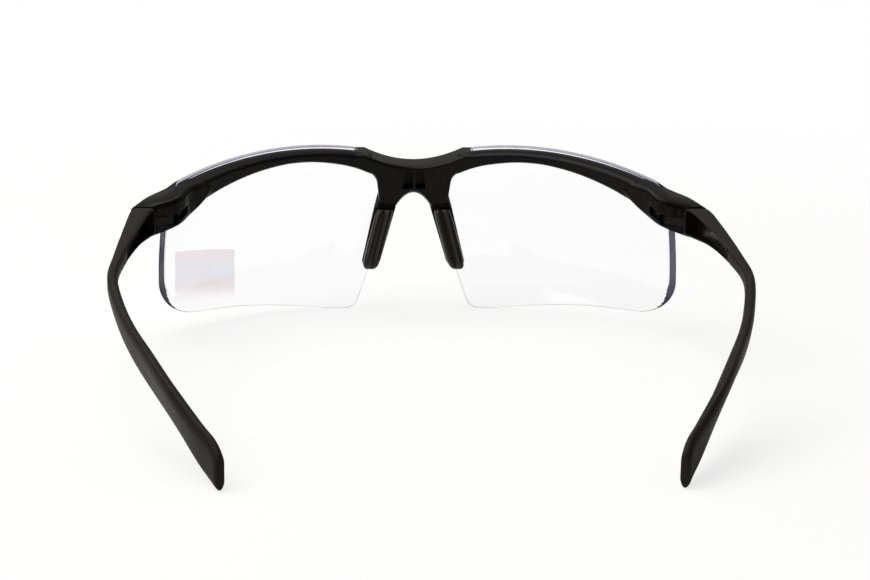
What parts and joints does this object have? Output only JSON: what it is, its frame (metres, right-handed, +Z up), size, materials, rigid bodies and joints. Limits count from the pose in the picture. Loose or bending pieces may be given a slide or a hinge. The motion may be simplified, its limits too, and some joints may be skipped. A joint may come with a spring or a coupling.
{
  "type": "bifocal safety glasses",
  "caption": "Half-frame safety glasses with wraparound clear lenses, a raised reading segment in the lower part of each lens, separate nose pads and folding temples.",
  "frame": {"origin": "on the table that the glasses stand on, under the middle of their bounding box", "axes": "+X towards the wearer's left, +Y from the lenses back to the ears, +Z up from the table"},
  "size_m": [0.1416, 0.1548, 0.0412],
  "materials": {
    "frame": "semi-gloss black nylon",
    "lens": "clear hard-coated polycarbonate with a faint violet edge",
    "nose_pad": "soft matt black elastomer",
    "temple": "satin black nylon with a fine moulded grain",
    "pin": "plain steel",
    "label": "thin tinted film"
  },
  "bodies": {
    "front": {"front_frame": "frame", "left_lens": "lens", "right_lens": "lens", "left_nose_pad": "nose_pad", "right_nose_pad": "nose_pad", "left_hinge_pin": "pin", "right_hinge_pin": "pin", "lens_label": "label"},
    "left_arm": {"left_temple": "temple"},
    "right_arm": {"right_temple": "temple"}
  },
  "joints": [
    {"name": "left_temple_fold", "type": "hinge", "parent": "front", "child": "left_arm", "pos_m": [0.06, -0.04108, 0.0288], "axis": [0, 0, 1], "range_deg": [0, 82]},
    {"name": "right_temple_fold", "type": "hinge", "parent": "front", "child": "right_arm", "pos_m": [-0.06, -0.04108, 0.0288], "axis": [0, 0, -1], "range_deg": [0, 76]}
  ]
}
